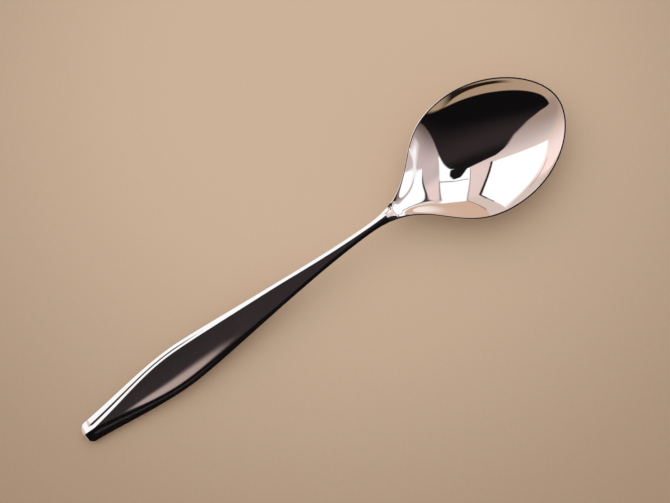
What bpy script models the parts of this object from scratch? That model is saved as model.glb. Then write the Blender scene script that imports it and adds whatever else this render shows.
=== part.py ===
"""Dessert spoon: a raised bowl, scarf-soldered to a faceted stem whose tang is set in a hollow handle.

All sizes are in metres. A station is a distance from the handle tip along +X.
The origin lies on the table, under the middle of the spoon.
"""

import math

import bmesh
import bpy
import numpy as np
from mathutils import Matrix, Vector

# Lengths along the spoon
HANDLE_LENGTH = 0.1154  # handle tip to the start of the bowl's hollow
BOWL_LENGTH = 0.0626  # start of the hollow to the end of the bowl
NOSE_LENGTH = 0.0024  # rounded end of the handle
WIDEST_STATION = 0.0355  # handle tip to the handle's widest point
NECK_SETBACK = 0.0094  # from the start of the hollow back to the thinnest point
BOWL_WIDEST_SETBACK = 0.02865  # from the end of the bowl back to its widest point
DEEPEST_SETBACK = 0.028  # from the end of the bowl back to the hollow's deepest point
BELLY_SETBACK = 0.0305  # from the end of the bowl back to the point it lies on

# Widths seen from above
TIP_WIDTH = 0.0066
HANDLE_WIDTH = 0.0131
NECK_WIDTH = 0.0027
BOWL_WIDTH = 0.0411

# Depths and thicknesses
TIP_THICKNESS = 0.0033
NECK_THICKNESS = 0.0030
NECK_STEP = 0.0009  # the stem's end stands this far above the bowl's rim
BOWL_DEPTH = 0.0085
BELLY_THICKNESS = 0.0014
RIM_THICKNESS = 0.0006
RIM_DROP = 0.0002  # outer edge of the rim below its inner edge

# Rounding of the outlines: how far each curve follows its tangent
FLANK_REACH = 0.0110
FLANK_SLOPE = 0.09
WIDEST_REACH = 0.0110
NECK_REACH = 0.0220
SHOULDER_REACH = 0.0230
BOWL_SIDE_REACH = 0.02325
BOWL_END_REACH = 0.0157
BOWL_TIP_REACH = 0.0095
HEEL_REACH = 0.0160
BELLY_REACH = 0.0195

# Side view and underside
CROWN_START = 0.0080  # the top line is level up to here, then climbs to the stem's end
PAD_END = 0.0220  # the flat that the handle lies on ends here
NOSE_ROLL_TOP = 0.0012
NOSE_ROLL_UNDER = 0.0008
UNDER_FLAT = 0.62  # share of the underside that is flat in the grip
UNDER_FLAT_END = 0.0450
BELLY_FLAT = 0.08  # share of the bowl's underside that is worn flat where it lies

# Facet and bevels on the front
BEVEL_ANGLE = math.radians(24)
FACET_SHARE = 0.71  # facet width over handle width, where it is full
FACET_END_SHARE = 0.22  # the same share at the neck
FACET_START = 0.0043
FACET_FULL = 0.0340
FACET_TAPER_START = 0.0700
FACET_DISH = 0.0003  # hollow of the facet at the widest point

# Shape of the cross-sections
SECTION_POWER = 2.6
BELLY_END_POWER = 2.8

# Fullness of the hollow's profiles: 0 is a parabola, more makes a flatter bottom and steeper walls
HEEL_FULLNESS = -0.10  # along the middle, from the neck to the deepest point
END_FULLNESS = 0.30  # along the middle, from the deepest point to the end
NECK_SECTION_FULLNESS = -0.15  # across, near the neck
END_SECTION_FULLNESS = 0.20  # across, near the end
SECTION_BLEND_START = 0.0046  # from the start of the hollow to where the fullness begins to grow
SECTION_BLEND_LENGTH = 0.0450

# Build of the handle
SHELL_WALL = 0.0006
SEAM_DROP = 0.0005  # the seam runs this far below the bevels' outer edge
CAVITY_START = 0.0035
CAVITY_RUN = 0.0045  # length over which the cavity reaches its full depth
STEM_LENGTH = 0.0370  # shoulder of the stem to the start of the hollow
TANG_ROOT_LENGTH = 0.0164  # snug part of the tang, behind the shoulder
TANG_SPIKE_LENGTH = 0.0180  # thin part of the tang, set in the filler
TANG_SPIKE_WIDTH = 0.0024
TANG_SPIKE_THICKNESS = 0.0010

# Joint between stem and bowl
PLAIN_NECK_LENGTH = 0.0030  # bowl's own neck, in front of the facet's end
SCARF_ANGLE = math.radians(40)

# Clearances, which solder and cement fill
SOLDER_GAP = 0.0003
CEMENT_GAP = 0.0003

# Fineness of the surfaces
CURVE_SAMPLES = 60
FACET_STEPS = (-1, -0.5, 0, 0.5, 1)  # places across the facet, from crease to crease
UNDER_STEPS = (1.0, 0.9, 0.75, 0.55, 0.3, 0.0)  # places down the side, from edge to flat
HOLLOW_POINTS = 21
BOWL_UNDER_POINTS = 22
NOSE_RINGS = 6
NOSE_FIRST_TURN = math.radians(12)  # the tip ends in a small flat here
GRIP_RINGS = 31
TANG_RINGS = 5
STEM_RINGS = 15
NECK_RINGS = 7
SHOULDER_RINGS = 19
SHOULDER_CROWDING = 1.2  # rings stand closer where the hollow opens
BOWL_END_RINGS = 15
WELD_DISTANCE = 1e-6
SHARP_ANGLE = math.radians(12)

# Places that follow from the sizes above
LENGTH = HANDLE_LENGTH + BOWL_LENGTH
RIM_HEIGHT = BOWL_DEPTH + BELLY_THICKNESS
CREST_HEIGHT = RIM_HEIGHT + NECK_STEP
NECK_STATION = HANDLE_LENGTH - NECK_SETBACK
BOWL_WIDEST = LENGTH - BOWL_WIDEST_SETBACK
BELLY_STATION = LENGTH - BELLY_SETBACK
HOLLOW_END = LENGTH - RIM_THICKNESS
DEEPEST_STATION = LENGTH - DEEPEST_SETBACK
SHOULDER_STATION = HANDLE_LENGTH - STEM_LENGTH
TANG_ROOT_START = SHOULDER_STATION - TANG_ROOT_LENGTH
TANG_START = TANG_ROOT_START - TANG_SPIKE_LENGTH
SCARF_STATION = HANDLE_LENGTH - PLAIN_NECK_LENGTH
INNER_INSET = SHELL_WALL + CEMENT_GAP
BEVEL_SLOPE = math.tan(BEVEL_ANGLE)

# Finishes
SILVER = (0.93, 0.92, 0.90)
SILVER_ROUGHNESS = 0.06
RESIN = (0.10, 0.07, 0.05)
RESIN_ROUGHNESS = 0.7


def ease(low, high, value):
    """Smooth rise from 0 at low to 1 at high, level at both ends."""
    share = min(max((value - low) / (high - low), 0.0), 1.0)
    return share * share * (3 - 2 * share)


def bezier(start, leave, arrive, end):
    """Points on the cubic curve from start to end, as rows of station and height."""
    t = np.linspace(0, 1, CURVE_SAMPLES)[:, None]
    points = np.array([start, leave, arrive, end])
    weights = np.hstack([(1 - t) ** 3, 3 * t * (1 - t) ** 2, 3 * t**2 * (1 - t), t**3])
    return weights @ points


def plan_outline():
    """Half of the outline seen from above, from the handle tip to the bowl's end."""
    turn = np.linspace(0, math.pi / 2, CURVE_SAMPLES)
    nose = np.column_stack([NOSE_LENGTH * (1 - np.cos(turn)), TIP_WIDTH / 2 * np.sin(turn)])
    flank = bezier(
        (NOSE_LENGTH, TIP_WIDTH / 2),
        (NOSE_LENGTH + FLANK_REACH, TIP_WIDTH / 2 + FLANK_REACH * FLANK_SLOPE),
        (WIDEST_STATION - FLANK_REACH, HANDLE_WIDTH / 2),
        (WIDEST_STATION, HANDLE_WIDTH / 2),
    )
    taper = bezier(
        (WIDEST_STATION, HANDLE_WIDTH / 2),
        (WIDEST_STATION + WIDEST_REACH, HANDLE_WIDTH / 2),
        (NECK_STATION - NECK_REACH, NECK_WIDTH / 2),
        (NECK_STATION, NECK_WIDTH / 2),
    )
    shoulder = bezier(
        (NECK_STATION, NECK_WIDTH / 2),
        (NECK_STATION + SHOULDER_REACH, NECK_WIDTH / 2),
        (BOWL_WIDEST - BOWL_SIDE_REACH, BOWL_WIDTH / 2),
        (BOWL_WIDEST, BOWL_WIDTH / 2),
    )
    end = bezier(
        (BOWL_WIDEST, BOWL_WIDTH / 2),
        (BOWL_WIDEST + BOWL_END_REACH, BOWL_WIDTH / 2),
        (LENGTH, BOWL_TIP_REACH),
        (LENGTH, 0.0),
    )
    return np.vstack([nose, flank[1:], taper[1:], shoulder[1:], end[1:]])


PLAN = plan_outline()
HEEL = bezier(
    (NECK_STATION, CREST_HEIGHT - NECK_THICKNESS),
    (NECK_STATION + HEEL_REACH, CREST_HEIGHT - NECK_THICKNESS),
    (BELLY_STATION - BELLY_REACH, 0.0),
    (BELLY_STATION, 0.0),
)


def half_width(station):
    return float(np.interp(station, PLAN[:, 0], PLAN[:, 1]))


def nose_share(station):
    """0 at the very tip of the handle, 1 where its rounded end is done."""
    short = max(NOSE_LENGTH - station, 0.0) / NOSE_LENGTH
    return math.sqrt(max(1 - short * short, 0.0))


def crown_height(station):
    """Height of the top line: it climbs to the stem's end and falls straight to the bowl's rim."""
    climb = (CREST_HEIGHT - TIP_THICKNESS) * ease(CROWN_START, SCARF_STATION, station)
    fall = min(max((station - SCARF_STATION) / PLAIN_NECK_LENGTH, 0.0), 1.0)
    return TIP_THICKNESS + climb - NECK_STEP * fall - NOSE_ROLL_TOP * (1 - nose_share(station))


def under_height(station):
    """Height of the underside along the middle: flat pad, arch, heel, belly, end of the bowl."""
    if station <= NECK_STATION:
        arch = (CREST_HEIGHT - NECK_THICKNESS) * ease(PAD_END, NECK_STATION, station)
        return arch + NOSE_ROLL_UNDER * (1 - nose_share(station))
    if station <= BELLY_STATION:
        return float(np.interp(station, HEEL[:, 0], HEEL[:, 1]))
    forward = (station - BELLY_STATION) / (LENGTH - BELLY_STATION)
    return (RIM_HEIGHT - RIM_DROP) * forward**BELLY_END_POWER


def facet_half_width(station):
    """Half of the centre facet: a point near the tip, widest in the grip, a narrow square end."""
    start = min(max((station - FACET_START) / (FACET_FULL - FACET_START), 0.0), 1.0)
    share = FACET_SHARE * (1 - (1 - start) ** 2)
    narrowing = ease(FACET_TAPER_START, SCARF_STATION, station)
    return half_width(station) * share * (1 - narrowing * (1 - FACET_END_SHARE / FACET_SHARE))


def edge_height(station):
    """Height of the outer edge: foot of the bevels on the handle, outside of the rim on the bowl."""
    bevel = (half_width(station) - facet_half_width(station)) * BEVEL_SLOPE
    on_bowl = ease(SCARF_STATION, HANDLE_LENGTH, station)
    return crown_height(station) - bevel * (1 - on_bowl) - RIM_DROP * on_bowl


def under_flat(station):
    """Share of the underside that is flat: broad in the grip, none at the neck, a strip on the belly."""
    grip = UNDER_FLAT * (1 - ease(UNDER_FLAT_END, NECK_STATION, station))
    return grip + BELLY_FLAT * ease(NECK_STATION, BELLY_STATION, station)


def crown_points(station, inset=0.0):
    """Left bevel, hollow facet and right bevel as (y, z), or the same moved inwards by inset."""
    wide = half_width(station) - inset
    crease = facet_half_width(station) * wide / half_width(station)
    top = crown_height(station) - inset / math.cos(BEVEL_ANGLE)
    low = top - (wide - crease) * BEVEL_SLOPE
    sag = FACET_DISH * crease / (FACET_SHARE * HANDLE_WIDTH / 2)
    facet = [(crease * x, top - sag * (1 - x * x)) for x in FACET_STEPS]
    return [(-wide, low), *facet, (wide, low)]


def under_side(station, height, inset=0.0):
    """Distance from the middle to the underside's wall at a height."""
    low = under_height(station) + inset
    high = crown_points(station, inset)[0][1]
    flat = under_flat(station)
    rise = min(max((height - low) / (high - low), 0.0), 1.0)
    return (half_width(station) - inset) * (flat + (1 - flat) * rise ** (1 / SECTION_POWER))


def under_points(station, inset=0.0, top=None):
    """Underside from the right wall to the left one, as (y, z), ending at the height top."""
    wide = half_width(station) - inset
    low = under_height(station) + inset
    high = crown_points(station, inset)[0][1]
    top = high if top is None else top
    flat = under_flat(station)
    reach = (under_side(station, top, inset) / wide - flat) / (1 - flat)
    right = []
    for step in UNDER_STEPS:
        place = flat + (1 - flat) * reach * step
        right.append((wide * place, low + (high - low) * (reach * step) ** SECTION_POWER))
    left = [(-y, z) for y, z in reversed(right)]
    return [*right, (0.0, low), *left]


def bar_ring(station, inset=0.0):
    """Closed section of the solid handle form."""
    return crown_points(station, inset) + under_points(station, inset)[1:-1]


def spike_ring(station, clearance=0.0):
    """Section of the thin tang: the snug section drawn in to the spike's own width and thickness."""
    ring = bar_ring(station, INNER_INSET)
    heights = [z for _, z in ring]
    middle = (max(heights) + min(heights)) / 2
    across = (TANG_SPIKE_WIDTH + 2 * clearance) / (2 * (half_width(station) - INNER_INSET))
    through = (TANG_SPIKE_THICKNESS + 2 * clearance) / (max(heights) - min(heights))
    return [(y * across, middle + (z - middle) * through) for y, z in ring]


def dish(share, fullness):
    """Rise of a hollow's wall from 0 in the middle to 1 at the rim."""
    return (1 - fullness) * share**2 + fullness * share**4


def hollow_depth(station):
    """Depth of the hollow below the rim, along the middle of the bowl."""
    if station <= DEEPEST_STATION:
        back = min((DEEPEST_STATION - station) / (DEEPEST_STATION - HANDLE_LENGTH), 1.0)
        return BOWL_DEPTH * (1 - dish(back, HEEL_FULLNESS))
    forward = (station - DEEPEST_STATION) / (HOLLOW_END - DEEPEST_STATION)
    return BOWL_DEPTH * (1 - dish(forward, END_FULLNESS))


def section_fullness(station):
    start = HANDLE_LENGTH + SECTION_BLEND_START
    growth = ease(start, start + SECTION_BLEND_LENGTH, station)
    return NECK_SECTION_FULLNESS + (END_SECTION_FULLNESS - NECK_SECTION_FULLNESS) * growth


def bowl_ring(station):
    """Closed section of the bowl and its neck as (station, y, z).

    The neck starts with the stem's bevels and loses them on the way to the hollow.
    Past the widest point the hollow's stations run short, so that the rim goes round the end.
    """
    wide = half_width(station)
    rim = crown_height(station)
    edge = edge_height(station)
    low = under_height(station)
    inner_station = station
    inner_wide = wide - RIM_THICKNESS
    if station > BOWL_WIDEST:
        end_scale = (HOLLOW_END - BOWL_WIDEST) / (LENGTH - BOWL_WIDEST)
        inner_station = BOWL_WIDEST + (station - BOWL_WIDEST) * end_scale
        inner_wide = wide * (1 - RIM_THICKNESS / (BOWL_WIDTH / 2))
    depth = hollow_depth(inner_station)
    fullness = section_fullness(inner_station)
    bevel_slope = BEVEL_SLOPE * (1 - ease(SCARF_STATION, HANDLE_LENGTH, station))
    across = np.sin(np.linspace(-math.pi / 2, math.pi / 2, HOLLOW_POINTS))
    ring = [(station, -wide, edge)]
    for v in across:
        y = v * inner_wide
        bevel = max(abs(y) - facet_half_width(station), 0.0) * bevel_slope
        ring.append((inner_station, y, rim - bevel - depth * (1 - dish(abs(v), fullness))))
    ring.append((station, wide, edge))
    flat = under_flat(station)
    for v in np.sin(np.linspace(math.pi / 2, -math.pi / 2, BOWL_UNDER_POINTS + 2))[1:-1]:
        curl = max(abs(v) - flat, 0.0) / (1 - flat)
        ring.append((station, v * wide, low + (edge - low) * curl**SECTION_POWER))
    return ring


def placed(ring, station):
    return [(station, y, z) for y, z in ring]


def loft(name, rings, material):
    """One closed body through rings of equal point count, with flat ends."""
    body = bmesh.new()
    loops = [[body.verts.new((x - LENGTH / 2, y, z)) for x, y, z in ring] for ring in rings]
    count = len(rings[0])
    for before, after in zip(loops, loops[1:]):
        for i in range(count):
            j = (i + 1) % count
            body.faces.new((before[i], before[j], after[j], after[i]))
    body.faces.new(loops[0])
    body.faces.new(loops[-1])
    bmesh.ops.remove_doubles(body, verts=body.verts, dist=WELD_DISTANCE)
    bmesh.ops.dissolve_degenerate(body, edges=body.edges, dist=WELD_DISTANCE)
    bmesh.ops.recalc_face_normals(body, faces=body.faces)
    mesh = bpy.data.meshes.new(name)
    body.to_mesh(mesh)
    body.free()
    mesh.shade_smooth()
    mesh.set_sharp_from_angle(angle=SHARP_ANGLE)
    part = bpy.data.objects.new(name, mesh)
    bpy.context.scene.collection.objects.link(part)
    if material:
        mesh.materials.append(material)
    return part


def cut(part, cutter):
    """Takes the cutter's shape out of the part and leaves the cutter as a hidden guide."""
    cutter.hide_render = True
    cutter.display_type = "WIRE"
    boolean = part.modifiers.new(cutter.name, "BOOLEAN")
    boolean.operation = "DIFFERENCE"
    boolean.solver = "EXACT"
    boolean.object = cutter


def scarf_cutter(name, side):
    """A block whose face is the scarf plane, on the bowl's side (+1) or on the stem's side (-1)."""
    size = 2 * BOWL_LENGTH
    block = bmesh.new()
    bmesh.ops.create_cube(block, size=size)
    normal = Vector((math.sin(SCARF_ANGLE), 0, -math.cos(SCARF_ANGLE)))
    foot = Vector((SCARF_STATION - LENGTH / 2, 0, crown_height(SCARF_STATION)))
    centre = foot + normal * side * (size / 2 - SOLDER_GAP / 2)
    turn = Matrix.Rotation(math.pi / 2 - SCARF_ANGLE, 4, "Y")
    bmesh.ops.transform(block, matrix=Matrix.Translation(centre) @ turn, verts=block.verts)
    mesh = bpy.data.meshes.new(name)
    block.to_mesh(mesh)
    block.free()
    cutter = bpy.data.objects.new(name, mesh)
    bpy.context.scene.collection.objects.link(cutter)
    return cutter


def finish(name, colour, roughness, metallic):
    material = bpy.data.materials.new(name)
    material.use_nodes = True
    shader = material.node_tree.nodes["Principled BSDF"]
    shader.inputs["Base Color"].default_value = (*colour, 1)
    shader.inputs["Roughness"].default_value = roughness
    shader.inputs["Metallic"].default_value = metallic
    return material


def grip_stations(last):
    """Stations from the rounded tip to last, close together round the nose."""
    turn = np.linspace(NOSE_FIRST_TURN, math.pi / 2, NOSE_RINGS)
    nose = NOSE_LENGTH * (1 - np.cos(turn))
    return [*nose, *np.linspace(NOSE_LENGTH, last, GRIP_RINGS)[1:]]


def cavity_share(station):
    return ease(CAVITY_START, CAVITY_START + CAVITY_RUN, station)


def seam_height(station):
    """Underside of the front shell's edge, a little below the foot of the bevels."""
    return edge_height(station) - SEAM_DROP * nose_share(station)


def land_inside(station, height):
    """Inner edge of the seam land, which stays on material in the solid tip."""
    outside = under_side(station, height)
    if cavity_share(station) > 0:
        return under_side(station, height, SHELL_WALL)
    return outside * (1 - SHELL_WALL / (TIP_WIDTH / 2))


def front_shell_ring(station):
    """Pressed sheet with facet and bevels, open below; solid in the tip."""
    seam = seam_height(station)
    outside = under_side(station, seam)
    inside = land_inside(station, seam)
    outer = [(-outside, seam), *crown_points(station), (outside, seam)]
    if cavity_share(station) == 0:
        inner = [(y * inside / half_width(station), seam) for y, _ in crown_points(station)]
    else:
        roof = crown_points(station, SHELL_WALL)
        inner = [(y, seam + (z - seam) * cavity_share(station)) for y, z in roof]
    return placed([*outer, (inside, seam), *reversed(inner), (-inside, seam)], station)


def back_shell_ring(station):
    """Pressed sheet of the underside, open above; solid in the tip."""
    top = seam_height(station) - SOLDER_GAP
    outer = under_points(station, 0.0, top)
    inside = land_inside(station, top)
    if cavity_share(station) == 0:
        inner = [(inside * y / outer[0][0], top) for y, _ in outer]
    else:
        floor = under_points(station, SHELL_WALL, top)
        inner = [(y, top + (z - top) * cavity_share(station)) for y, z in floor]
    return placed([*outer, *reversed(inner)], station)


def make_handle_front_shell(material):
    stations = grip_stations(SHOULDER_STATION - SOLDER_GAP)
    return loft("handle_front_shell", [front_shell_ring(s) for s in stations], material)


def make_handle_back_shell(material):
    stations = grip_stations(SHOULDER_STATION - SOLDER_GAP)
    return loft("handle_back_shell", [back_shell_ring(s) for s in stations], material)


def make_stem(material):
    """Solid bar: thin spike, snug tang root, shoulder, faceted stem, cut off along the scarf."""
    spike = [placed(spike_ring(s), s) for s in np.linspace(TANG_START, TANG_ROOT_START, TANG_RINGS)]
    root = np.linspace(TANG_ROOT_START, SHOULDER_STATION, TANG_RINGS)
    tang = [placed(bar_ring(s, INNER_INSET), s) for s in root]
    bar = [placed(bar_ring(s), s) for s in np.linspace(SHOULDER_STATION, HANDLE_LENGTH, STEM_RINGS)]
    stem = loft("stem", spike + tang + bar, material)
    cut(stem, scarf_cutter("scarf_bowl_side", 1))
    return stem


def make_bowl(material):
    """Neck, heel, belly and rim as one skin, cut off along the scarf."""
    neck = np.linspace(NECK_STATION, HANDLE_LENGTH, NECK_RINGS)
    opening = np.linspace(0, 1, SHOULDER_RINGS)[1:]
    shoulder = HANDLE_LENGTH + (BOWL_WIDEST - HANDLE_LENGTH) * opening**SHOULDER_CROWDING
    turn = np.linspace(0, math.pi / 2, BOWL_END_RINGS)[1:]
    end = BOWL_WIDEST + BOWL_WIDEST_SETBACK * np.sin(turn)
    bowl = loft("bowl", [bowl_ring(s) for s in (*neck, *shoulder, *end)], material)
    cut(bowl, scarf_cutter("scarf_stem_side", -1))
    return bowl


def make_handle_filler(material):
    """Resin core of the handle, with a socket for the tang's spike."""
    first = CAVITY_START + CAVITY_RUN + CEMENT_GAP
    last = TANG_ROOT_START - CEMENT_GAP
    core = [placed(bar_ring(s, INNER_INSET), s) for s in np.linspace(first, last, GRIP_RINGS)]
    filler = loft("handle_filler", core, material)
    socket_stations = np.linspace(TANG_START - CEMENT_GAP, TANG_ROOT_START, TANG_RINGS)
    socket = [placed(spike_ring(s, CEMENT_GAP), s) for s in socket_stations]
    cut(filler, loft("tang_socket", socket, None))
    return filler


for old in list(bpy.data.objects):
    bpy.data.objects.remove(old, do_unlink=True)

polished_silver = finish("polished_silver", SILVER, SILVER_ROUGHNESS, 1.0)
cast_resin = finish("cast_resin", RESIN, RESIN_ROUGHNESS, 0.0)

make_handle_front_shell(polished_silver)
make_handle_back_shell(polished_silver)
make_stem(polished_silver)
make_bowl(polished_silver)
make_handle_filler(cast_resin)
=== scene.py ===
import math

import bmesh
import bpy
import numpy as np
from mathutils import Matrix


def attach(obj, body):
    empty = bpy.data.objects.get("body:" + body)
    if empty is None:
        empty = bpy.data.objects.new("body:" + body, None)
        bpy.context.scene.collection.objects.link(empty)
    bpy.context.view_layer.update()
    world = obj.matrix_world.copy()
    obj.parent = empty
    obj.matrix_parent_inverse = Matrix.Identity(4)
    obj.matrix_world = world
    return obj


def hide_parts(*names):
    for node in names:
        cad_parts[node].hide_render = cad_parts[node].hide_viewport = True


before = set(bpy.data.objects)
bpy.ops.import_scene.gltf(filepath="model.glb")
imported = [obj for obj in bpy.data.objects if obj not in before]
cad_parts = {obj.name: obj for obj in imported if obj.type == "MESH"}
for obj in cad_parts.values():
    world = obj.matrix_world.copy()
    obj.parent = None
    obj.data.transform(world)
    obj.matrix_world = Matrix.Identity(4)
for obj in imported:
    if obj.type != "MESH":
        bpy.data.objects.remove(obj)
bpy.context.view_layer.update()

# The bowl: an egg-shaped bowl with a flat-filed rim, forged from silver in one with its short neck.
# It is polished to a mirror inside and out, and its neck is scarfed under the end of the stem
# and soldered there. Stations are distances from the handle tip, and all sizes are in metres.

SPOON_LENGTH = 0.1780
HOLLOW_START = 0.1154
SCARF_STATION = 0.1124
NECK_STATION = 0.1060
BOWL_WIDEST = 0.14935
DEEPEST_STATION = 0.1500
BELLY_STATION = 0.1475
NECK_HALF_WIDTH = 0.00135
BOWL_HALF_WIDTH = 0.02055
NECK_REACH = 0.0230  # a reach is how far a drawn curve keeps to the direction it has at its end
SIDE_REACH = 0.02325
FRONT_REACH = 0.0157
END_REACH = 0.0095
HEEL_NECK_REACH = 0.016
HEEL_BELLY_REACH = 0.0195
RIM_HEIGHT = 0.0099
CREST_HEIGHT = 0.0108
NECK_UNDERSIDE = 0.0078
BOWL_DEPTH = 0.0085
BACK_FULLNESS = -0.10
FRONT_FULLNESS = 0.30
SIDE_FULLNESS = -0.40
SIDE_FULLNESS_GAIN = 0.60
SIDE_FULLNESS_RUN = (0.120, 0.165)
RIM_THICKNESS = 0.0006
RIM_DROP = 0.0002
RIM_RISE = 0.00002
RIM_RUN = 0.0022
RIM_LAND = 0.4
RIM_ROUND = 0.50
RIM_ROUND_LOSS = 0.35
RIM_ROUND_RUN = (0.138, 0.156)
RIM_ROUND_DROP = 0.00015
SCARF_SLOPE = math.tan(math.radians(40))
SCARF_ROUNDS = 8
BEVEL_SLOPE = math.tan(math.radians(24))
NECK_FACET_SHARE = 0.22
SECTION_POWER = 2.6
END_POWER = 2.8
BELLY_FLAT = 0.08
HAIRLINE = 0.00001  # half of a polished solder seam
QUARTER_TURN = np.pi / 2


def ease(low, high, value):
    """Smooth rise from 0 at low to 1 at high: three times the share squared less twice its cube."""
    share = np.clip((value - low) / (high - low), 0.0, 1.0)
    return share * share * (3 - 2 * share)


def curve(start, leave, arrive, end, count=1500):
    """Cubic curve from start to end that leaves and arrives along its two middle points."""
    t = np.linspace(0, 1, count)[:, None]
    points = np.array([start, leave, arrive, end])
    return np.hstack([(1 - t) ** 3, 3 * t * (1 - t) ** 2, 3 * t**2 * (1 - t), t**3]) @ points


def along(line, station):
    """Value of a drawn line of (station, value) rows at any stations."""
    return np.interp(station, line[:, 0], line[:, 1])


BOWL_PLAN = np.vstack([
    curve((NECK_STATION, NECK_HALF_WIDTH), (NECK_STATION + NECK_REACH, NECK_HALF_WIDTH),
          (BOWL_WIDEST - SIDE_REACH, BOWL_HALF_WIDTH), (BOWL_WIDEST, BOWL_HALF_WIDTH)),
    curve((BOWL_WIDEST, BOWL_HALF_WIDTH), (BOWL_WIDEST + FRONT_REACH, BOWL_HALF_WIDTH),
          (SPOON_LENGTH, END_REACH), (SPOON_LENGTH, 0.0))[1:],
])
HEEL = curve((NECK_STATION, NECK_UNDERSIDE), (NECK_STATION + HEEL_NECK_REACH, NECK_UNDERSIDE),
             (BELLY_STATION - HEEL_BELLY_REACH, 0.0), (BELLY_STATION, 0.0))


def dish(share, fullness):
    """Rise of a hollow's wall: a parabola in the share of the way out, with some fourth power in it."""
    return (1 - fullness) * share**2 + fullness * share**4


def bowl_depth(station):
    """Depth of the hollow along its middle: one dish back to the neck, another forward to the end."""
    back = np.clip((DEEPEST_STATION - station) / (DEEPEST_STATION - HOLLOW_START), 0, 1)
    forward = np.clip((station - DEEPEST_STATION) / (SPOON_LENGTH - RIM_THICKNESS - DEEPEST_STATION), 0, 1)
    rise = np.where(station < DEEPEST_STATION, dish(back, BACK_FULLNESS), dish(forward, FRONT_FULLNESS))
    return BOWL_DEPTH * (1 - rise)


def bowl_levels(station):
    """Heights along the bowl: top line, drop to the hollow's edge, bevel slope, outer edge, underside.

    The neck falls straight from the stem's end to the rim, and its bevels fade on the way. The
    underside follows the heel back from the belly, and rises by a power of the way forward.
    """
    top = CREST_HEIGHT - (CREST_HEIGHT - RIM_HEIGHT) * np.clip(
        (station - SCARF_STATION) / (HOLLOW_START - SCARF_STATION), 0, 1)
    started = ease(HOLLOW_START, HOLLOW_START + RIM_RUN, station)
    slope = BEVEL_SLOPE * (1 - ease(SCARF_STATION, HOLLOW_START, station))
    wide = along(BOWL_PLAN, station)
    outside = top - (RIM_DROP + RIM_ROUND_DROP) * started - slope * wide * (1 - NECK_FACET_SHARE)
    forward = np.clip((station - BELLY_STATION) / (SPOON_LENGTH - BELLY_STATION), 0, 1)
    end = RIM_HEIGHT - RIM_DROP - RIM_ROUND_DROP
    low = np.where(station < BELLY_STATION, along(HEEL, station), end * forward**END_POWER)
    return top, started, slope, outside, low


def hollow_edge(station):
    """Station and half width of the hollow, which keeps the rim's thickness inside the outline."""
    ahead = np.clip(station - BOWL_WIDEST, 0, None)
    shrink = 1 - RIM_THICKNESS / (SPOON_LENGTH - BOWL_WIDEST)
    wide = along(BOWL_PLAN, station)
    narrow = np.where(ahead > 0, wide * (1 - RIM_THICKNESS / BOWL_HALF_WIDTH), wide - RIM_THICKNESS)
    return np.where(ahead > 0, BOWL_WIDEST + ahead * shrink, station), narrow


def bowl_top(station, across):
    """Hollow and top of the neck: the top line less the bevels and less the depth times one less dish."""
    inner, narrow = hollow_edge(station)
    top, started, slope, _, _ = bowl_levels(station)
    y = across * narrow
    bevel = np.clip(np.abs(y) - NECK_FACET_SHARE * along(BOWL_PLAN, station), 0, None) * slope
    fullness = SIDE_FULLNESS + SIDE_FULLNESS_GAIN * ease(*SIDE_FULLNESS_RUN, inner)
    depth = bowl_depth(inner) * (1 - RIM_DROP * started / BOWL_DEPTH)
    return inner, y, top - RIM_DROP * started - bevel - depth * (1 - dish(np.abs(across), fullness))


def bowl_rim(station, over):
    """Rim: a level land from the hollow's edge, then a quarter round down to the outline.

    over runs from 0 at the hollow to 1 outside on the right, and from 0 to -1 on the left. The round
    takes half of the rim by the shoulders and little of it past the widest place.
    """
    share = np.abs(over)
    side = np.sign(over)
    inner, narrow = hollow_edge(station)
    _, _, inner_z = bowl_top(station, side)
    _, started, _, outside, _ = bowl_levels(station)
    round_share = RIM_ROUND - RIM_ROUND_LOSS * ease(*RIM_ROUND_RUN, station)
    flat = np.clip(share / RIM_LAND, 0, 1)
    turn = np.clip((share - RIM_LAND) / (1 - RIM_LAND), 0, 1) * QUARTER_TURN
    out = (1 - round_share) * flat + round_share * np.sin(turn)
    straight = inner_z + out * (outside - inner_z)
    landed = inner_z + RIM_RISE * flat + (outside - inner_z - RIM_RISE) * (1 - np.cos(turn))
    y = side * (narrow + out * (along(BOWL_PLAN, station) - narrow))
    return inner + out * (station - inner), y, straight + started * (landed - straight)


def bowl_under(station, across):
    """Underside: a power of the way out from the flat strip in the middle to the outer edge."""
    _, _, _, outside, low = bowl_levels(station)
    flat = BELLY_FLAT * ease(NECK_STATION, BELLY_STATION, station)
    curl = np.clip(np.abs(across) - flat, 0, None) / (1 - flat)
    return station, across * along(BOWL_PLAN, station), low + (outside - low) * curl**SECTION_POWER


def slanted(zone, rows, slant, across):
    """Points of a zone on rows that lean with the scarf: each station moves back as its height falls."""
    station = rows[:, None] + 0 * across[None, :]
    for _ in range(SCARF_ROUNDS):
        x, y, z = zone(station, across[None, :])
        station = rows[:, None] + slant[:, None] * (z - CREST_HEIGHT) / SCARF_SLOPE
    return np.stack(np.broadcast_arrays(x, y, z), axis=-1)


def loops(rows, slant, *zones):
    """Sections round a piece, one for each row: its zones side by side, each with its own columns."""
    return np.concatenate([slanted(zone, rows, slant, columns) for zone, columns in zones], axis=1)


SAME_POINT = 2e-7
NO_WIDTH = 1e-6
SHARP_CREASE = math.radians(50)


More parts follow.
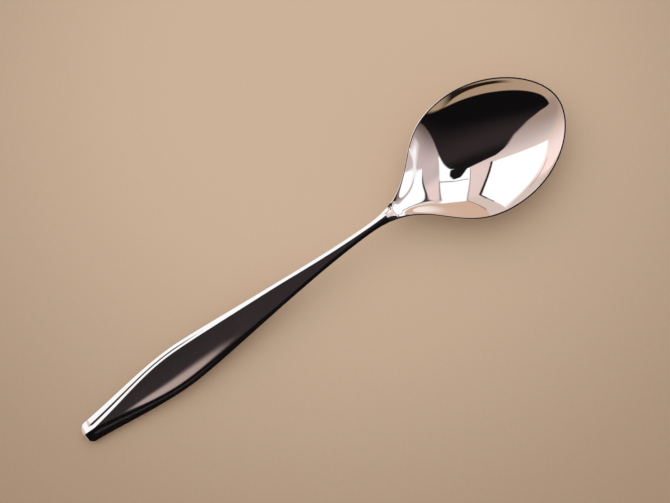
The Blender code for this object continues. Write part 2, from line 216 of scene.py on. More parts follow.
def skin(name, sections, material):
    """Closed surface through sections of equal point count, an array of (section, point, xyz).

    An end with some width is drawn together to its middle, an end without any closes by itself, and
    points that fall together are merged.
    """
    caps = []
    for end in (sections[:1], sections[-1:]):
        middle = np.broadcast_to(end.mean(axis=1, keepdims=True), end.shape)
        caps.append(middle if np.ptp(end[..., 1]) > NO_WIDTH else end[:0])
    grid = np.concatenate([caps[0], sections, caps[1]])
    count, around = grid.shape[:2]
    places = grid.reshape(-1, 3) - np.array([SPOON_LENGTH / 2, 0, 0])
    here = np.arange(count * around).reshape(count, around)
    beside = np.roll(here, -1, axis=1)
    faces = np.stack([here[:-1], beside[:-1], beside[1:], here[1:]], axis=-1).reshape(-1, 4)
    mesh = bpy.data.meshes.new(name)
    mesh.from_pydata(places.tolist(), [], faces.tolist())
    body = bmesh.new()
    body.from_mesh(mesh)
    bmesh.ops.remove_doubles(body, verts=body.verts, dist=SAME_POINT)
    bmesh.ops.dissolve_degenerate(body, edges=body.edges, dist=SAME_POINT)
    bmesh.ops.recalc_face_normals(body, faces=body.faces)
    body.to_mesh(mesh)
    body.free()
    mesh.shade_smooth()
    mesh.set_sharp_from_angle(angle=SHARP_CREASE)
    mesh.materials.append(material)
    piece = bpy.data.objects.new(name, mesh)
    bpy.context.scene.collection.objects.link(piece)
    return piece


class Value:
    """A socket of a node tree. Operators on it add Math nodes, and node() adds any other node."""

    def __init__(self, tree, output=None):
        self.tree = tree
        self.output = output

    def node(self, kind, settings, sockets, out=0):
        """Adds a node of a kind, sets its settings first, then its sockets' values or links."""
        made = self.tree.nodes.new(kind)
        for key, setting in settings.items():
            setattr(made, key, setting)
        for key, content in sockets.items():
            if isinstance(content, Value):
                content.feed(made, key)
            else:
                made.inputs[key].default_value = content
        return Value(self.tree, made.outputs[out])

    def feed(self, node, socket):
        """Links this value to a socket of a node."""
        self.tree.links.new(self.output, node.inputs[socket])

    def math(self, operation, *terms):
        """A Math node on terms, of which this value is usually one."""
        return self.node("ShaderNodeMath", {"operation": operation}, dict(enumerate(terms)))

    def __add__(self, other):
        return self.math("ADD", self, other)

    __radd__ = __add__

    def __sub__(self, other):
        return self.math("SUBTRACT", self, other)

    def __rsub__(self, other):
        return self.math("SUBTRACT", other, self)

    def __mul__(self, other):
        return self.math("MULTIPLY", self, other)

    __rmul__ = __mul__

    def __rtruediv__(self, other):
        return self.math("DIVIDE", other, self)

    def __or__(self, other):
        return self.math("MAXIMUM", self, other)

    def __abs__(self):
        return self.math("ABSOLUTE", self)

    def step(self, low, high):
        """Smooth step from 0 at low to 1 at high."""
        limits = {0: self, 1: low, 2: high}
        return self.node("ShaderNodeMapRange", {"interpolation_type": "SMOOTHSTEP"}, limits)

    def tint(self, dark, light):
        """Colour between two colours, with this value as the share of the second."""
        return self.node("ShaderNodeMix", {"data_type": "RGBA"}, {0: self, 6: dark, 7: light}, 2)

    def noise(self, scale, detail):
        """Cloudy noise at this place, about 0.5 on the whole."""
        return self.node("ShaderNodeTexNoise", {}, {"Vector": self, "Scale": scale, "Detail": detail})


def shade(red, green, blue):
    """A colour given as it looks on screen, 0 to 255, turned into light."""
    seen = np.array([red, green, blue]) / 255
    light = np.where(seen <= 0.04045, seen / 12.92, ((seen + 0.055) / 1.055) ** 2.4)
    return (*light.tolist(), 1.0)


def new_finish(name):
    """A new material, its shader, and the place on the piece that its pattern is drawn by."""
    finish = bpy.data.materials.new(name)
    finish.use_nodes = True
    place = Value(finish.node_tree).node("ShaderNodeTexCoord", {}, {}, "Object")
    return finish, finish.node_tree.nodes["Principled BSDF"], place


CLEAN_SILVER = (0.955, 0.935, 0.905, 1.0)
WORN_SILVER = (0.915, 0.895, 0.865, 1.0)
HANDLED_SILVER = (0.845, 0.825, 0.810, 1.0)
BOWL_HAZE = 0.012
HANDLE_HAZE = 0.03
SCRATCH_ROUGHNESS = 0.05
SCRATCH_BUMP = 0.05
SCRATCH_DEPTH = 0.000004
SCRATCH_EDGES = (0.66, 0.74)
SCRATCH_FINENESS = 5200.0
SCRATCH_LIES = (((0.2, 0.1, 0.35), 60.0), ((0.2, 0.1, -0.9), 90.0))  # how they turn, how short they are
HAZE_FINENESS = 90.0
HAZE_DETAIL = 4.0
SCRATCH_DETAIL = 2.0
HAZE_SHARE = 0.6
SCRATCH_SHARE = 0.4


def polished_silver(name, clean, worn, haze):
    """Mirror-polished silver: hair scratches in two directions and a faint cloud of handling haze."""
    silver, shader, place = new_finish(name)
    cloud = place.noise(HAZE_FINENESS, HAZE_DETAIL)
    marks = []
    for turn, shortness in SCRATCH_LIES:
        stretch = (shortness, SCRATCH_FINENESS, SCRATCH_FINENESS)
        lie = place.node("ShaderNodeMapping", {}, {"Vector": place, "Rotation": turn, "Scale": stretch})
        marks.append(lie.noise(1.0, SCRATCH_DETAIL).step(*SCRATCH_EDGES))
    scratch = marks[0] | marks[1]
    relief = {"Strength": SCRATCH_BUMP, "Distance": SCRATCH_DEPTH, "Height": 1 - scratch}
    (cloud * HAZE_SHARE + scratch * SCRATCH_SHARE).tint(clean, worn).feed(shader, "Base Color")
    (haze + SCRATCH_ROUGHNESS * scratch + haze * cloud).feed(shader, "Roughness")
    place.node("ShaderNodeBump", {}, relief).feed(shader, "Normal")
    shader.inputs["Metallic"].default_value = 1.0
    return silver


NECK_ROWS = 26
BACK_ROWS = 121
BACK_CROWDING = 1.1
FRONT_ROWS = 101
HOLLOW_COLUMNS = 161
RIM_COLUMNS = 16
UNDER_COLUMNS = 91

bowl_rows = np.concatenate([
    np.linspace(SCARF_STATION + HAIRLINE, HOLLOW_START, NECK_ROWS)[:-1],
    HOLLOW_START + (BOWL_WIDEST - HOLLOW_START) * np.linspace(0, 1, BACK_ROWS) ** BACK_CROWDING,
    BOWL_WIDEST + (SPOON_LENGTH - BOWL_WIDEST) * np.sin(np.linspace(0, QUARTER_TURN, FRONT_ROWS))[1:],
])
neck_slant = np.clip((HOLLOW_START - bowl_rows) / (HOLLOW_START - SCARF_STATION), 0, 1)
hollow_columns = np.sin(np.linspace(-QUARTER_TURN, QUARTER_TURN, HOLLOW_COLUMNS))
rim_columns = np.linspace(0, 1, RIM_COLUMNS)[1:-1]
under_columns = np.sin(np.linspace(QUARTER_TURN, -QUARTER_TURN, UNDER_COLUMNS))
bowl_sections = loops(
    bowl_rows, neck_slant,
    (bowl_top, hollow_columns), (bowl_rim, rim_columns),
    (bowl_under, under_columns), (bowl_rim, -rim_columns[::-1]))
bowl_silver = polished_silver("bowl_silver", CLEAN_SILVER, WORN_SILVER, BOWL_HAZE)
bowl = skin("polished_bowl", bowl_sections, bowl_silver)
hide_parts("bowl")
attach(bowl, "root")

# The stem: a solid silver bar with a narrow dished facet between two bevels, filed and polished.
# Its front end is scarfed onto the bowl's neck, and behind its shoulder a tang runs into the
# hollow handle: a snug root, and from it a thin spike that the resin holds.

SHOULDER_STATION = 0.0784
TANG_ROOT_START = 0.0620
TANG_START = 0.0440
SPIKE_HALF_WIDTH = 0.0012
SPIKE_THICKNESS = 0.0010
TANG_INSET = 0.0009
TIP_THICKNESS = 0.0033
CROWN_START = 0.0080
PAD_END = 0.0220
HANDLE_WIDEST = 0.0355
HANDLE_HALF_WIDTH = 0.00655
HANDLE_REACH = 0.011
STEM_REACH = 0.022
FACET_SHARE = 0.71
FACET_START = 0.0043
FACET_FULL = 0.0340
FACET_TAPER_START = 0.0700
FACET_HOLLOW = math.tan(math.radians(0.35))  # the hollows are given by the slope where they are steepest
THUMB_HOLLOW = math.tan(math.radians(2.6))
THUMB_RISE = (0.008, 0.024)
THUMB_FALL = (0.030, 0.062)
SAG_STEEPNESS = 2.08
LEDGE_SHARE = 0.21
LEDGE_PLACE = 0.42
LEDGE_START = 0.0024
LEDGE_END = 0.0500
LEDGE_RISE = 0.0015
LEDGE_FALL = 0.014
UNDER_FLAT = 0.62
UNDER_FLAT_END = 0.0450
NOSE_LENGTH = 0.0024
NOSE_ROLL_TOP = 0.0006
NOSE_ROLL_UNDER = 0.0008
TIP_HALF_WIDTH = 0.0033
TIP_FLARE = 0.09
SCARF_RUN = 0.0080
NEXT_TO_NOTHING = 1e-9
NOSE_POINTS = 800
BEVEL_FOOT = 2.0  # across is 1 at the crease and 2 here

nose_turn = np.linspace(0, QUARTER_TURN, NOSE_POINTS)
HANDLE_PLAN = np.vstack([
    np.column_stack([NOSE_LENGTH * (1 - np.cos(nose_turn)), TIP_HALF_WIDTH * np.sin(nose_turn)]),
    curve((NOSE_LENGTH, TIP_HALF_WIDTH),
          (NOSE_LENGTH + HANDLE_REACH, TIP_HALF_WIDTH + HANDLE_REACH * TIP_FLARE),
          (HANDLE_WIDEST - HANDLE_REACH, HANDLE_HALF_WIDTH), (HANDLE_WIDEST, HANDLE_HALF_WIDTH))[1:],
    curve((HANDLE_WIDEST, HANDLE_HALF_WIDTH), (HANDLE_WIDEST + HANDLE_REACH, HANDLE_HALF_WIDTH),
          (NECK_STATION - STEM_REACH, NECK_HALF_WIDTH), (NECK_STATION, NECK_HALF_WIDTH))[1:],
    BOWL_PLAN[1:],
])


def nose_rise(station):
    """Quarter round of the nose: 0 at the very tip, and 1 from the end of the nose on."""
    short = np.clip(NOSE_LENGTH - station, 0, None) / NOSE_LENGTH
    return np.sqrt(np.clip(1 - short * short, 0, 1))


def handle_levels(station):
    """Half width, facet half width, top line and underside along the handle and stem.

    The facet's share of the width opens from the tip as one less a square, and narrows to the neck's.
    """
    roll = 1 - nose_rise(station)
    wide = along(HANDLE_PLAN, station)
    start = np.clip((station - FACET_START) / (FACET_FULL - FACET_START), 0, 1)
    share = FACET_SHARE * (1 - (1 - start) ** 2)
    narrowing = ease(FACET_TAPER_START, SCARF_STATION, station)
    facet = wide * share * (1 - narrowing * (1 - NECK_FACET_SHARE / FACET_SHARE))
    top = TIP_THICKNESS + (CREST_HEIGHT - TIP_THICKNESS) * ease(CROWN_START, SCARF_STATION, station)
    arch = NECK_UNDERSIDE * ease(PAD_END, NECK_STATION, station)
    low = np.where(station < NECK_STATION, arch, along(HEEL, station))
    return wide, facet, top - NOSE_ROLL_TOP * roll, low + NOSE_ROLL_UNDER * roll


def handle_top(station, across, inset=0.0):
    """Front of the handle: a dished facet for across within 1, bevels from there out to 2.

    The facet sags between its creases by one less a fifth of eight cubes less three eighth powers, so
    it is level in the middle and beside the creases, and it sags most where the thumb lies. The
    bevels fall away at one slope, with a narrow level ledge a little inside the middle of each.
    """
    wide, facet, top, _ = handle_levels(station)
    narrow = wide - inset
    crease = facet * narrow / np.maximum(wide, NEXT_TO_NOTHING)
    middle = np.clip(np.abs(across), 0, 1)
    out = np.clip(np.abs(across) - 1, 0, 1)
    thumb = ease(*THUMB_RISE, station) * (1 - ease(*THUMB_FALL, station))
    sag = crease * (FACET_HOLLOW + THUMB_HOLLOW * thumb) / SAG_STEEPNESS
    started = ease(LEDGE_START, LEDGE_START + LEDGE_RISE, station)
    ledge = LEDGE_SHARE * (started * (1 - ease(LEDGE_END - LEDGE_FALL, LEDGE_END, station)))
    fall = (out - np.clip(out - LEDGE_PLACE + ledge / 2, 0, ledge)) / (1 - ledge / 2)
    y = np.sign(across) * (crease * middle + out * (narrow - crease))
    level = top - inset * math.hypot(1, BEVEL_SLOPE)
    dished = level - sag * (1 - (8 * middle**3 - 3 * middle**8) / 5)
    return station, y, dished - fall * (narrow - crease) * BEVEL_SLOPE


def handle_under(station, across, inset=0.0):
    """Underside: flat in the middle, then a power of the rest of the way out, up to the bevel's foot."""
    wide, _, _, low = handle_levels(station)
    _, _, high = handle_top(station, np.full_like(across, BEVEL_FOOT), inset)
    flat = UNDER_FLAT * (1 - ease(UNDER_FLAT_END, NECK_STATION, station))
    place = np.sign(across) * (flat + (1 - flat) * np.abs(across))
    floor = low + inset
    return station, place * (wide - inset), floor + (high - floor) * np.abs(across) ** SECTION_POWER


def tang_top(station, across):
    """Front of the tang: the handle's front, moved in by the shell's wall and its clearance."""
    return handle_top(station, across, TANG_INSET)


def tang_under(station, across):
    """Underside of the tang: the handle's underside, moved in as the front is."""
    return handle_under(station, across, TANG_INSET)


FACET_COLUMNS = 41
BEVEL_COLUMNS = 61
SIDE_COLUMNS = 25
STEM_ROWS = 140
TANG_ROWS = 12

facet_columns = np.sin(np.linspace(-QUARTER_TURN, QUARTER_TURN, FACET_COLUMNS))
bevel_columns = np.linspace(1, BEVEL_FOOT, BEVEL_COLUMNS)[1:]
top_columns = np.concatenate([-bevel_columns[::-1], facet_columns, bevel_columns])
side_columns = np.cos(np.linspace(0, QUARTER_TURN, SIDE_COLUMNS))[1:]
round_columns = np.concatenate([side_columns, -side_columns[::-1][1:]])

stem_rows = np.linspace(SHOULDER_STATION + HAIRLINE, SCARF_STATION - HAIRLINE, STEM_ROWS)
stem_slant = np.clip((stem_rows - SCARF_STATION + SCARF_RUN) / SCARF_RUN, 0, 1)
bar_sections = loops(stem_rows, stem_slant, (handle_top, top_columns), (handle_under, round_columns))
tang_sides = ((tang_top, top_columns), (tang_under, round_columns))
upright = np.zeros(TANG_ROWS)
root_rows = np.linspace(TANG_ROOT_START, SHOULDER_STATION + HAIRLINE, TANG_ROWS)
root_sections = loops(root_rows, upright, *tang_sides)
spike_rows = np.linspace(TANG_START, TANG_ROOT_START, TANG_ROWS)
spike_sections = loops(spike_rows, upright, *tang_sides)
spike_top = spike_sections[..., 2].max(axis=1, keepdims=True)
spike_low = spike_sections[..., 2].min(axis=1, keepdims=True)
spike_wide = spike_sections[..., 1].max(axis=1, keepdims=True)
spike_middle = (spike_top + spike_low) / 2
spike_sections[..., 1] *= SPIKE_HALF_WIDTH / spike_wide
spike_sections[..., 2] = spike_middle + (spike_sections[..., 2] - spike_middle) * (
    SPIKE_THICKNESS / (spike_top - spike_low))
handle_silver = polished_silver("handle_silver", WORN_SILVER, HANDLED_SILVER, HANDLE_HAZE)
stem = skin("faceted_stem", np.concatenate([spike_sections, root_sections, bar_sections]), handle_silver)
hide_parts("stem")
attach(stem, "root")

# The handle's front shell: silver sheet pressed over a die, with the wide end of the dished facet,
# the thumb hollow in it, and two bevels with a fine ledge along each. Its edge is soldered to
# the back shell, its front end to the stem's shoulder, and the tip is solid.

SHELL_WALL = 0.0006
SEAM_DROP = 0.0005
CAVITY_START = 0.0035
CAVITY_RUN = 0.0045


def seam_level(station):
    """Height of the seam: a little under the foot of the bevels, and none of that at the very tip."""
    _, _, foot = handle_top(station, BEVEL_FOOT + 0 * station)
    return foot - SEAM_DROP * nose_rise(station)


def under_reach(station, height, inset=0.0):
    """How far out the underside stands at a height, as handle_under counts it: a root of the rise."""
    _, _, _, low = handle_levels(station)
    _, _, high = handle_top(station, BEVEL_FOOT + 0 * station, inset)
    return np.clip((height - low - inset) / (high - low - inset), 0, 1) ** (1 / SECTION_POWER)


def shell_wall(station, rise):
    """Side of the front shell, the underside's own curve above the seam.

    rise goes from 0 at the seam to 1 at the bevel's foot, and its sign is the side.
    """
    reach = under_reach(station, seam_level(station) + HAIRLINE)
    return handle_under(station, np.sign(rise) * (reach + (1 - reach) * np.abs(rise)))


def cavity_share(station):
    """Share of the cavity's full height: none in the solid tip, then a smooth rise to all of it."""
    return ease(CAVITY_START, CAVITY_START + CAVITY_RUN, station)


def seam_half_width(station, seam, fill):
    """Half width of the cavity at the seam, or of the solid tip's meeting face where there is none."""
    land = handle_under(station, under_reach(station, seam, SHELL_WALL), SHELL_WALL)[1]
    solid = handle_under(station, under_reach(station, seam))[1] * (1 - SHELL_WALL / TIP_HALF_WIDTH)
    return np.where(fill > 0, land, solid)


def front_inside(station, across):
    """Inner face of the front shell: the front moved in by the sheet, down to the seam at the tip."""
    _, y, z = handle_top(station, across, SHELL_WALL)
    seam = seam_level(station) + HAIRLINE
    fill = cavity_share(station)
    limit = seam_half_width(station, seam, fill)
    inside = np.maximum(along(HANDLE_PLAN, station) - SHELL_WALL, NO_WIDTH)
    return station, np.clip(y * limit / inside, -limit, limit), seam + (z - seam) * fill


NOSE_ROWS = 30
GRIP_ROWS = 230
WALL_COLUMNS = 8
WALL_FOOT = 0.001
INSIDE_COLUMNS = 33

grip_rows = np.concatenate([
    NOSE_LENGTH * (1 - np.cos(np.linspace(0, QUARTER_TURN, NOSE_ROWS))),
    np.linspace(NOSE_LENGTH, SHOULDER_STATION - HAIRLINE, GRIP_ROWS)[1:],
])
plumb = np.zeros(len(grip_rows))
wall_columns = np.linspace(WALL_FOOT, 1, WALL_COLUMNS)[:-1]
inside_columns = np.linspace(BEVEL_FOOT, -BEVEL_FOOT, INSIDE_COLUMNS)
front_sections = loops(
    grip_rows, plumb,
    (shell_wall, -wall_columns), (handle_top, top_columns),
    (shell_wall, wall_columns[::-1]), (front_inside, inside_columns))
front_shell = skin("handle_front", front_sections, handle_silver)
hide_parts("handle_front_shell")
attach(front_shell, "root")

# The handle's back shell: the plain half of the handle, pressed from the same sheet and soldered
# under the front shell. Its underside is rounded at the sides and flat in the middle, and near
# the tip it is the pad that the spoon lies on.


def back_outside(station, across):
    """Underside of the handle up to the seam, which across reaches at 1 and -1."""
    reach = under_reach(station, seam_level(station) - HAIRLINE)
    return handle_under(station, across * reach)


def back_inside(station, across):
    """Inner face of the back shell: the underside moved in by the sheet, up to the seam at the tip."""
    seam = seam_level(station) - HAIRLINE
    fill = cavity_share(station)
    limit = seam_half_width(station, seam, fill)
    _, y, z = handle_under(station, across * under_reach(station, seam, SHELL_WALL), SHELL_WALL)
    return station, np.where(fill > 0, np.clip(y, -limit, limit), across * limit), seam + (z - seam) * fill


BACK_COLUMNS = 81
BACK_INSIDE_COLUMNS = 41

back_columns = np.cos(np.linspace(0, np.pi, BACK_COLUMNS))
back_inside_columns = -np.cos(np.linspace(0, np.pi, BACK_INSIDE_COLUMNS))
back_sections = loops(grip_rows, plumb, (back_outside, back_columns), (back_inside, back_inside_columns))
back_shell = skin("handle_back", back_sections, handle_silver)
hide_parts("handle_back_shell")
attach(back_shell, "root")

# The handle's filler: brown resin poured in hot round the tang, which sets and holds it.
# It is out of sight inside the shells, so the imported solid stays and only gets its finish.

RESIN_DARK = (70, 48, 34)
RESIN_LIGHT = (104, 78, 56)
RESIN_FINENESS = 240.0
RESIN_DETAIL = 5.0
RESIN_ROUGHNESS = 0.5
RESIN_SWIRL_ROUGHNESS = 0.3

resin, resin_shader, resin_place = new_finish("set_resin")
resin_swirl = resin_place.noise(RESIN_FINENESS, RESIN_DETAIL)
resin_swirl.tint(shade(*RESIN_DARK), shade(*RESIN_LIGHT)).feed(resin_shader, "Base Color")
(RESIN_ROUGHNESS + RESIN_SWIRL_ROUGHNESS * resin_swirl).feed(resin_shader, "Roughness")
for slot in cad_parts["handle_filler"].material_slots:
    slot.material = resin

# The table: a plain board covered in pale beige paper, matt and very slightly mottled.
# The spoon only lies on it. Its colour carries painted light: lighter in a painted pool near the windows,
# painted darker as shade towards the viewer.

TABLE_HALF = 2.0
PAPER_PAINTED_LIT = (204, 178, 153)
PAPER_PAINTED_SHADE = (165, 139, 116)
PAINTED_FALLOFF_RANGE = (0.04, 0.185)
PAPER_FINENESS = 700.0
PAPER_DETAIL = 3.0
PAPER_MOTTLE = 0.10
PAPER_ROUGHNESS = 0.8
PAPER_FIBRE_ROUGHNESS = 0.2
PAPER_GLOSS = 0.1
PHOTO_TURN = math.radians(35.743)
IMAGE_EAST = np.array([math.cos(PHOTO_TURN), -math.sin(PHOTO_TURN), 0.0])
IMAGE_NORTH = np.array([math.sin(PHOTO_TURN), math.cos(PHOTO_TURN), 0.0])
PAINTED_POOL_REACH = 0.06

table_corners = TABLE_HALF * np.array([(-1, -1, 0), (1, -1, 0), (1, 1, 0), (-1, 1, 0)])
table_mesh = bpy.data.meshes.new("table_top")
table_mesh.from_pydata(table_corners.tolist(), [], [(0, 1, 2, 3)])
table = bpy.data.objects.new("table_top", table_mesh)
bpy.context.scene.collection.objects.link(table)
paper, paper_shader, paper_place = new_finish("beige_paper")
paper_shader.inputs["Specular IOR Level"].default_value = PAPER_GLOSS
# Painted light and shade: the paper's colour goes from its lit tone to a painted darker tone with distance
# from a point north of the spoon.
painted_pool_ends = {0: paper_place, 1: tuple(PAINTED_POOL_REACH * IMAGE_NORTH)}
painted_pool_distance = paper_place.node("ShaderNodeVectorMath", {"operation": "DISTANCE"}, painted_pool_ends, 1)
paper_fibre = paper_place.noise(PAPER_FINENESS, PAPER_DETAIL)
painted_falloff_share = painted_pool_distance.step(*PAINTED_FALLOFF_RANGE) + PAPER_MOTTLE * (paper_fibre - 0.5)
painted_falloff_share.tint(shade(*PAPER_PAINTED_LIT), shade(*PAPER_PAINTED_SHADE)).feed(paper_shader, "Base Color")
(PAPER_ROUGHNESS + PAPER_FIBRE_ROUGHNESS * paper_fibre).feed(paper_shader, "Roughness")
table_mesh.materials.append(paper)

# The light: a white light tent with three window panels on its far side, pale posts between them,
# a dark baffle overhead and warm walls low down. It is the world: what the silver mirrors is the
# tent as it looks, and what falls on the table is its light, soft and from the windows' side.

CEILING_NEAR = (159, 135, 123)
CEILING_FAR = (204, 187, 183)
EAST_WALL_NEAR = (80, 62, 55)
EAST_WALL_FAR = (199, 179, 177)
POSTS_WEST = (225, 202, 194)
POSTS_EAST = (230, 203, 199)
WEST_WALL_NEAR = (182, 155, 138)
WEST_WALL_FAR = (250, 225, 218)
SOUTH_WALL_WEST = (177, 149, 128)
SOUTH_WALL_EAST = (168, 141, 114)
SILL = (213, 192, 182)
SILL_OVAL = (207, 172, 150)
GLOW = (242, 236, 234)
PANE = (255, 255, 255)
MIDDLE_EDGING = (160, 140, 136)
POST_EDGING = (40, 30, 32)
FRAME_EDGING = (60, 45, 46)
HOOP = (33, 22, 18)
BAFFLE_DARK = (14, 12, 13)
BAFFLE_SHEEN = (46, 38, 39)
TWICE_LOW = (214, 183, 164)
TWICE_HIGH = (248, 236, 230)
SILVER_LEFT = 0.985  # what the polish leaves of clean silver's light
FILL_LEVEL = 0.58
SIDE_LEVEL = 0.99
SIDE_HEIGHT = math.radians(50)
SIDE_NORTH = 0.814
SIDE_WEST = 0.581
SIDE_EDGES = (0.3, 1.0)
ZENITH = np.array([0.0, 0.0, 1.0])
JUST_OVER_ONE = 1.0001  # keeps the map finite straight up

tent = bpy.data.worlds.new("light_tent")
tent.use_nodes = True
bpy.context.scene.world = tent
tent.node_tree.nodes.clear()
sky = Value(tent.node_tree).node("ShaderNodeTexCoord", {}, {}, "Generated")


def dot(vector, fixed):
    """Dot product of a vector in the tree with a fixed one."""
    terms = {0: vector, 1: tuple(fixed)}
    return vector.node("ShaderNodeVectorMath", {"operation": "DOT_PRODUCT"}, terms, 1)


# Every direction has a place on a flat map of the tent: degrees east and north of straight up. The
# bare numbers below are places and edges on this map.
upness = dot(sky, ZENITH)
lean = upness.math("ARCCOSINE", upness) * math.degrees(1)
spread = lean * upness.math("INVERSE_SQRT", JUST_OVER_ONE - upness * upness)
east = spread * dot(sky, IMAGE_EAST)
north = spread * dot(sky, IMAGE_NORTH)
west = east * -1
south = north * -1
tent_map = sky.node("ShaderNodeCombineXYZ", {}, {0: east, 1: north, 2: 1.0})
CRISP = 0.5
FINE = 0.3


def left_of(start, end, soft):
    """Share that lies left of the line from start to end on the map, with a soft edge in degrees."""
    run = np.subtract(end, start) / math.dist(start, end)
    return dot(tent_map, (-run[1], run[0], run[1] * start[0] - run[0] * start[1])).step(-soft, soft)


def within(corners, soft):
    """Share on the left of every line of a chain of corners: the product of their soft edges."""
    share = left_of(corners[0], corners[1], soft)
    for start, end in zip(corners[1:], corners[2:]):
        share = share * left_of(start, end, soft)
    return share


def strip(start, end, half_width, soft):
    """Share of a thin straight strip on the map, square at both ends."""
    run = np.subtract(end, start) / math.dist(start, end)
    aside = (-run[1] * half_width, run[0] * half_width)
    right = (np.subtract(start, aside), np.subtract(end, aside))
    left = (np.add(end, aside), np.add(start, aside))
    return within([*right, *left, right[0]], soft)


def past(cut, soft):
    """Share of the directions past a round edge: what they reach along an axis, less the edge's reach.

    A cut is the axis, as shares east, north and up, and the reach. The soft edge is in degrees.
    """
    axis = cut[0] * IMAGE_EAST + cut[1] * IMAGE_NORTH + cut[2] * ZENITH
    blur = math.radians(soft) * math.sqrt(1 - cut[3] ** 2)
    return dot(sky, axis).step(cut[3] - blur, cut[3] + blur)


def band(cut, half_width, soft):
    """Share of a thin line along a round edge, its half width and soft edge in degrees."""
    half = math.radians(half_width) * math.sqrt(1 - cut[3] ** 2)
    return past((*cut[:3], cut[3] - half), soft) * (1 - past((*cut[:3], cut[3] + half), soft))


def apart(place):
    """Distance on the map from a place, in degrees."""
    ends = {0: tent_map, 1: (*place, 1.0)}
    return tent_map.node("ShaderNodeVectorMath", {"operation": "DISTANCE"}, ends, 1)


def mirrored(paint):
    """Light that looks like this colour, 0 to 255, once the silver has mirrored it."""
    light = np.array(shade(*paint)[:3]) / (np.array(CLEAN_SILVER)[:3] * SILVER_LEFT)
    return (*light.tolist(), 1.0)


# The walls and the ceiling, and the sill under the middle window with the oval that lies on it.
ceiling = north.step(-10, 28).tint(mirrored(CEILING_NEAR), mirrored(CEILING_FAR))
east_wall = north.step(-20, 4).tint(mirrored(EAST_WALL_NEAR), mirrored(EAST_WALL_FAR))
colour = east.step(30, 50).tint(ceiling, east_wall)
posts = east.step(-6, 8).tint(mirrored(POSTS_WEST), mirrored(POSTS_EAST))
colour = north.step(14, 32).tint(colour, posts)
west_wall = north.step(-8, 52).tint(mirrored(WEST_WALL_NEAR), mirrored(WEST_WALL_FAR))
colour = (lean.step(54, 68) * west.step(36, 50)).tint(colour, west_wall)
south_wall = east.step(-50, 40).tint(mirrored(SOUTH_WALL_WEST), mirrored(SOUTH_WALL_EAST))
colour = south.step(22, 34).tint(colour, south_wall)
colour = north.step(64, 72).tint(colour, mirrored(SILL))
oval = within([(-4.3, 80.2), (3.7, 72.3), (6.5, 73.5), (9.6, 75.2), (12.1, 77.4), (13.5, 79.8)], 0.4)
colour = oval.tint(colour, mirrored(SILL_OVAL))
east_glow = strip((72.5, -6), (79, 3.6), 1.6, 1.5)
colour = east_glow.tint(colour, mirrored(GLOW))

# The window panels. The middle one's east edge is a cubic in degrees north, and the frame beside
# the east one is a hyperbola with a slope.
west_top = (-0.0569, 0.9981, -0.0236, 0.4483)
west_side = (-0.1208, 0.6281, 0.7687, 0.7447)
west_post = (0.9207, 0.2809, 0.2708, 0.3233)
middle_west = (0.8600, 0.4587, 0.2238, 0.5454)
past_middle = east - (46.77 + north * (north * (0.002958 + 0.000018 * north) - 0.76655))
past_frame = east - (7571 / (north + 61.62) + 0.1502 * north - 52.2)
west_foot = within([(-3.6, 66), (-6.9, 70.8), (-10.8, 74.7), (-17.1, 79.2)], CRISP)
west_window = past(west_top, CRISP) * past(west_side, 1.5) * (1 - past(west_post, CRISP)) * west_foot
middle_window = past(middle_west, CRISP) * (1 - past_middle.step(-CRISP, CRISP))
middle_window = middle_window * (1 - oval) * north.step(-1, 1)
east_panel = strip((75.8, 6.2), (92, 6.2), 2.8, CRISP)
east_height = north.step(2.6, 3.4) * (1 - north.step(75.5, 76.5))
east_window = past_frame.step(-CRISP, CRISP) * east_height * (1 - east_panel)
low_window = within([(86, 4.6), (80, 3.5), (76, 1), (73, -3), (70, -9)], CRISP) * north.step(-16, -12)
colour = (west_window | middle_window | east_window | low_window).tint(colour, mirrored(PANE))

# The dark and grey edgings of the posts and frames, the tent's seams, and the hoop behind.
middle_lines = band(middle_west, 0.25, FINE) | (1 - abs(past_middle).step(0.1, 0.6))
middle_lines = middle_lines * north.step(22, 30) * (1 - north.step(71, 74))
colour = middle_lines.tint(colour, mirrored(MIDDLE_EDGING))
post_line = band(west_post, 0.65, FINE) * north.step(26.6, 27.4) * (1 - north.step(65.6, 66.4))
colour = (post_line * (1 - east.step(4, 8))).tint(colour, mirrored(POST_EDGING))
frame_line = (1 - abs(past_frame).step(0.2, 0.8)) * north.step(2.5, 9) * (1 - north.step(68, 73))
colour = frame_line.tint(colour, mirrored(FRAME_EDGING))
seams = [
    ((-3.4, 66), (-6.9, 70.8), 0.55, (60, 46, 46)),
    ((-6.9, 70.8), (-10.8, 74.7), 0.4, (130, 108, 104)),
    ((3.7, 72.3), (-4.3, 80.2), 0.3, (120, 92, 80)),
    ((27.6, 28.5), (15.6, 37), 0.5, (150, 146, 148)),
    ((15.6, 37), (6.8, 40), 0.5, (150, 146, 148)),
    ((-54.5, 51.2), (-50, 61.8), 0.5, (196, 160, 146)),
    ((-50, 61.8), (-42.8, 69.9), 0.5, (196, 160, 146)),
    ((-42.8, 69.9), (-36.7, 73.6), 0.5, (196, 160, 146)),
]
for start, end, half_width, paint in seams:
    colour = strip(start, end, half_width, FINE).tint(colour, mirrored(paint))
hoop_reach = apart((10, -22))
hoop = hoop_reach.step(45.6, 46.6) * (1 - hoop_reach.step(50.2, 51.2))
hoop = hoop * east.step(0, 22) * (1 - east.step(51, 57)) * south.step(18, 26)
colour = hoop.tint(colour, mirrored(HOOP))

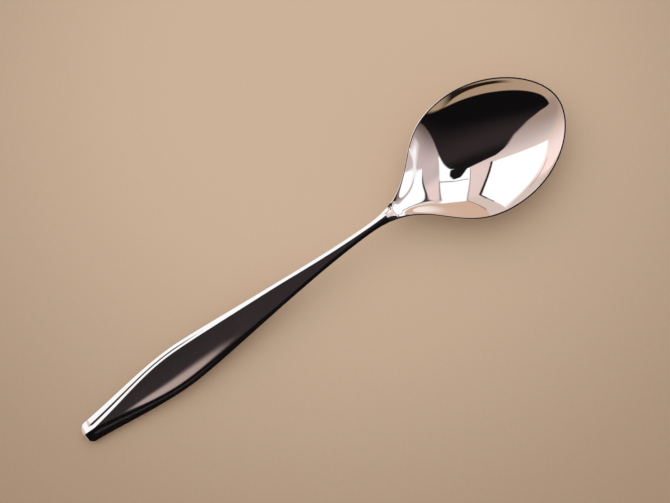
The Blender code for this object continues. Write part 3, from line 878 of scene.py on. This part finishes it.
# The baffle: a round dark sheet over the table, cut away to the west and north, with a tab on it.
baffle_west = left_of((-9, 16), (-13, 5), 1.6) | left_of((-13, 5), (-24, -7), 1.6)
baffle_west = baffle_west | left_of((-24, -7), (-36, -15), 1.0) | left_of((-36, -15), (-49, -20), 0.8)
baffle_north = within([(67, -20), (27, 17.5), (13, 25.5), (-4, 21), (-9, 16)], CRISP)
baffle_round = 1 - apart((9.3, 5)).step(59.8, 61)
baffle_tab = within([(26, 19), (23, 26), (17, 34), (13, 34), (12, 20), (26, 19)], CRISP)
baffle = (baffle_west * baffle_round * baffle_north) | baffle_tab
baffle_sheen = north.step(-25, 2) * (1 - 0.8 * north.step(6, 18))
baffle_colour = baffle_sheen.tint(mirrored(BAFFLE_DARK), mirrored(BAFFLE_SHEEN))
colour = baffle.tint(colour, baffle_colour)

# What the silver mirrors twice, from wall to wall of the hollow, is only a soft pale tone. Ray Depth
# is 2 here for a ray that was mirrored once.
bounces = sky.node("ShaderNodeLightPath", {}, {}, "Ray Depth")
twice_mirrored = north.step(30, 62).tint(mirrored(TWICE_LOW), mirrored(TWICE_HIGH))
colour = bounces.step(2.4, 2.6).tint(colour, twice_mirrored)

# The tent has three views: mirrored in the silver, as light on everything else, and plain behind.
side_way = SIDE_NORTH * IMAGE_NORTH - SIDE_WEST * IMAGE_EAST
side_from = math.cos(SIDE_HEIGHT) * side_way + math.sin(SIDE_HEIGHT) * ZENITH
fill_light = (FILL_LEVEL,) * 3 + (1,)
full_light = (FILL_LEVEL + SIDE_LEVEL,) * 3 + (1,)
soft_light = dot(sky, side_from).step(*SIDE_EDGES).tint(fill_light, full_light)
mirror_view = sky.node("ShaderNodeBackground", {}, {"Color": colour})
light_view = sky.node("ShaderNodeBackground", {}, {"Color": soft_light})
plain_view = sky.node("ShaderNodeBackground", {}, {"Color": shade(*PAPER_PAINTED_LIT)})
in_mirror = sky.node("ShaderNodeLightPath", {}, {}, "Is Glossy Ray")
in_camera = sky.node("ShaderNodeLightPath", {}, {}, "Is Camera Ray")
lit = sky.node("ShaderNodeMixShader", {}, {0: in_mirror, 1: light_view, 2: mirror_view})
whole = sky.node("ShaderNodeMixShader", {}, {0: in_camera, 1: lit, 2: plain_view})
whole.feed(tent.node_tree.nodes.new("ShaderNodeOutputWorld"), "Surface")

# The camera: stands over the table and looks down on the spoon at the photograph's angle.
# It leans back a little from straight down, and its picture is 30 degrees wide.

CAMERA_LEAN = math.radians(10.5)
CAMERA_REACH = 0.38837
CAMERA_NEAR = 0.01
PICTURE_ANGLE = math.radians(30)
SENSOR_WIDTH = 36.0  # in millimetres, as the lens is
AIM = np.array([0.005493, 0.001989, 0.0])

lens = bpy.data.cameras.new("photo_camera")
lens.sensor_width = SENSOR_WIDTH
lens.lens = SENSOR_WIDTH / 2 / math.tan(PICTURE_ANGLE / 2)
lens.clip_start = CAMERA_NEAR
camera = bpy.data.objects.new("photo_camera", lens)
camera_from = math.cos(CAMERA_LEAN) * ZENITH - math.sin(CAMERA_LEAN) * IMAGE_NORTH
camera.location = AIM + CAMERA_REACH * camera_from
camera.rotation_euler = (CAMERA_LEAN, 0.0, -PHOTO_TURN)
bpy.context.scene.collection.objects.link(camera)
bpy.context.scene.camera = camera
bpy.context.scene.view_settings.view_transform = "Standard"
